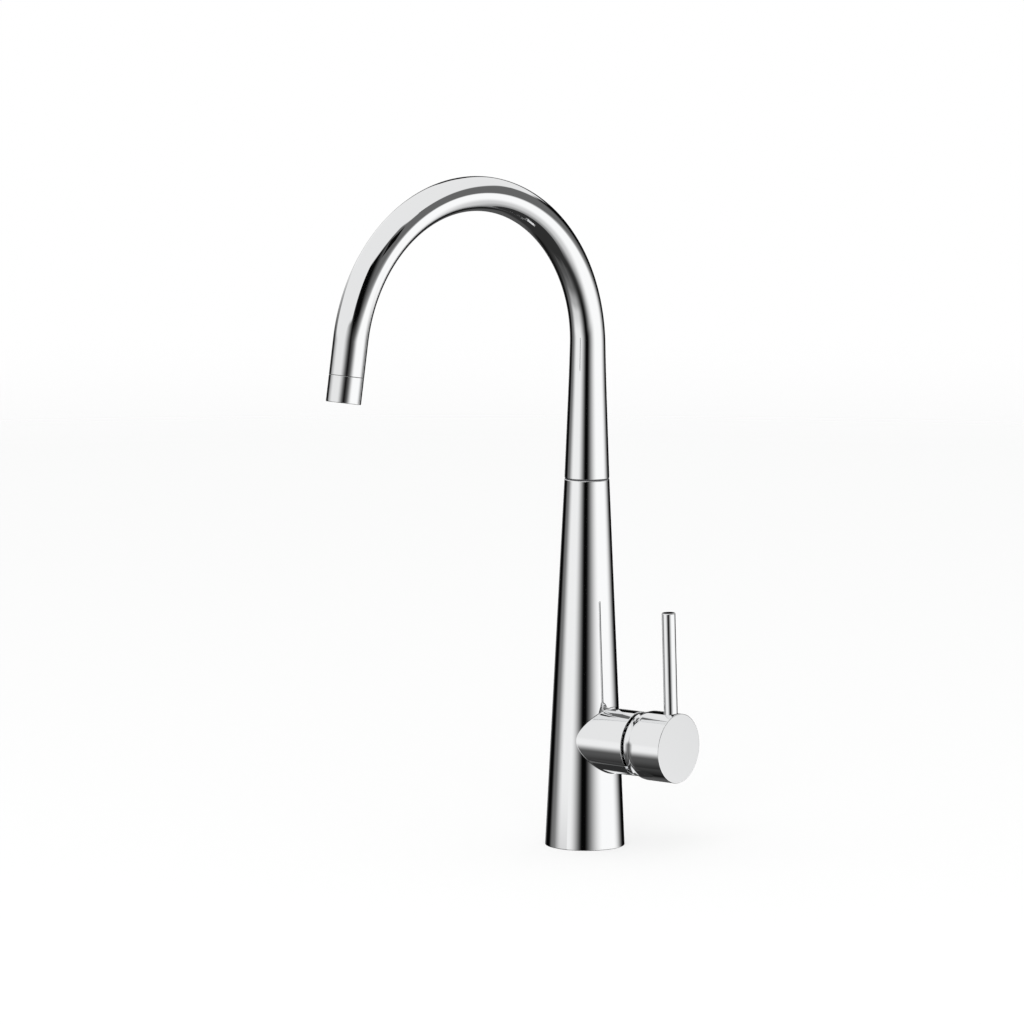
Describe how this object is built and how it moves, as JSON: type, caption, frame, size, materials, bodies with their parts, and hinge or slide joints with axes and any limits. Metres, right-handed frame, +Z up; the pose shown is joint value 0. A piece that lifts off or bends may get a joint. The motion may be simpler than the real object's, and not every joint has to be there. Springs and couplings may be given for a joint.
{
  "type": "three way filtered water tap",
  "caption": "Tall kitchen tap with a tapered body, a swan neck spout that swivels, and one pin lever at the side for hot, cold and filtered water.",
  "frame": {"origin": "centre of the round base where it meets the worktop, at the mouth of the fixing thread", "axes": "+Z up along the body, +X along the handle's branch, -Y to the front, where the spout points at rest"},
  "size_m": [0.1208, 0.242, 0.4378],
  "materials": {
    "chrome_skin": "polished",
    "turned_brass": "satin",
    "copper_tube": "satin",
    "black_rubber": "matte",
    "dark_acetal": "satin",
    "white_acetal": "satin",
    "white_ceramic": "polished",
    "stainless_steel": "satin",
    "pale_hose": "satin",
    "grey_plug": "gloss"
  },
  "bodies": {
    "root": {"body_shell": "chrome_skin", "inlet_manifold": "turned_brass", "base_seal": "black_rubber", "hot_supply_tube": "copper_tube", "cold_supply_tube": "copper_tube", "filtered_supply_tube": "copper_tube", "cartridge_seat": "turned_brass", "mixed_riser_tube": "copper_tube", "filtered_riser_tube": "copper_tube", "swivel_socket": "turned_brass", "filter_tube_seal": "black_rubber", "swivel_washer": "dark_acetal", "cartridge_base": "white_acetal", "port_seals": "black_rubber", "fixed_disc": "white_ceramic", "cartridge_housing": "white_acetal", "cartridge_nut": "turned_brass", "neck_trim": "chrome_skin"},
    "carrier": {"cartridge_carrier": "dark_acetal", "pivot_pin": "stainless_steel"},
    "disc": {"moving_disc": "white_ceramic", "disc_driver": "white_acetal"},
    "handle": {"spindle": "stainless_steel", "handle_insert": "dark_acetal", "handle_cap": "chrome_skin", "lever": "chrome_skin", "grub_screw": "stainless_steel", "screw_cover": "grey_plug"},
    "spout": {"spout": "chrome_skin", "spout_spigot": "turned_brass", "upper_glide_ring": "white_acetal", "lower_glide_ring": "white_acetal", "spout_o_rings": "black_rubber", "retaining_clip": "white_acetal", "filtered_hose": "pale_hose", "outlet_housing": "chrome_skin", "outlet_seal": "black_rubber", "outlet_screen": "stainless_steel", "outlet_fins": "white_acetal", "filtered_nozzle": "white_acetal"}
  },
  "joints": [
    {"name": "spout_swivel", "type": "hinge", "parent": "root", "child": "spout", "pos_m": [0, 0, 0.2384], "axis": [0, 0, 1], "continuous": true},
    {"name": "handle_turn", "type": "hinge", "parent": "root", "child": "carrier", "pos_m": [0.0237, 0, 0.0702], "axis": [1, 0, 0], "range_deg": [-47.93, 42.07]},
    {"name": "lever_tilt", "type": "hinge", "parent": "carrier", "child": "handle", "pos_m": [0.0237, 0, 0.0702], "axis": [0, 0.9987, 0.0511], "range_deg": [-15, 20]},
    {"name": "disc_slide", "type": "slide", "parent": "carrier", "child": "disc", "axis": [0, -0.0511, 0.9987], "range_m": [-0.0019, 0.0025]}
  ],
  "couplings": [
    {"joint": "disc_slide", "follows": "lever_tilt", "m_per_rad": 0.0068}
  ]
}
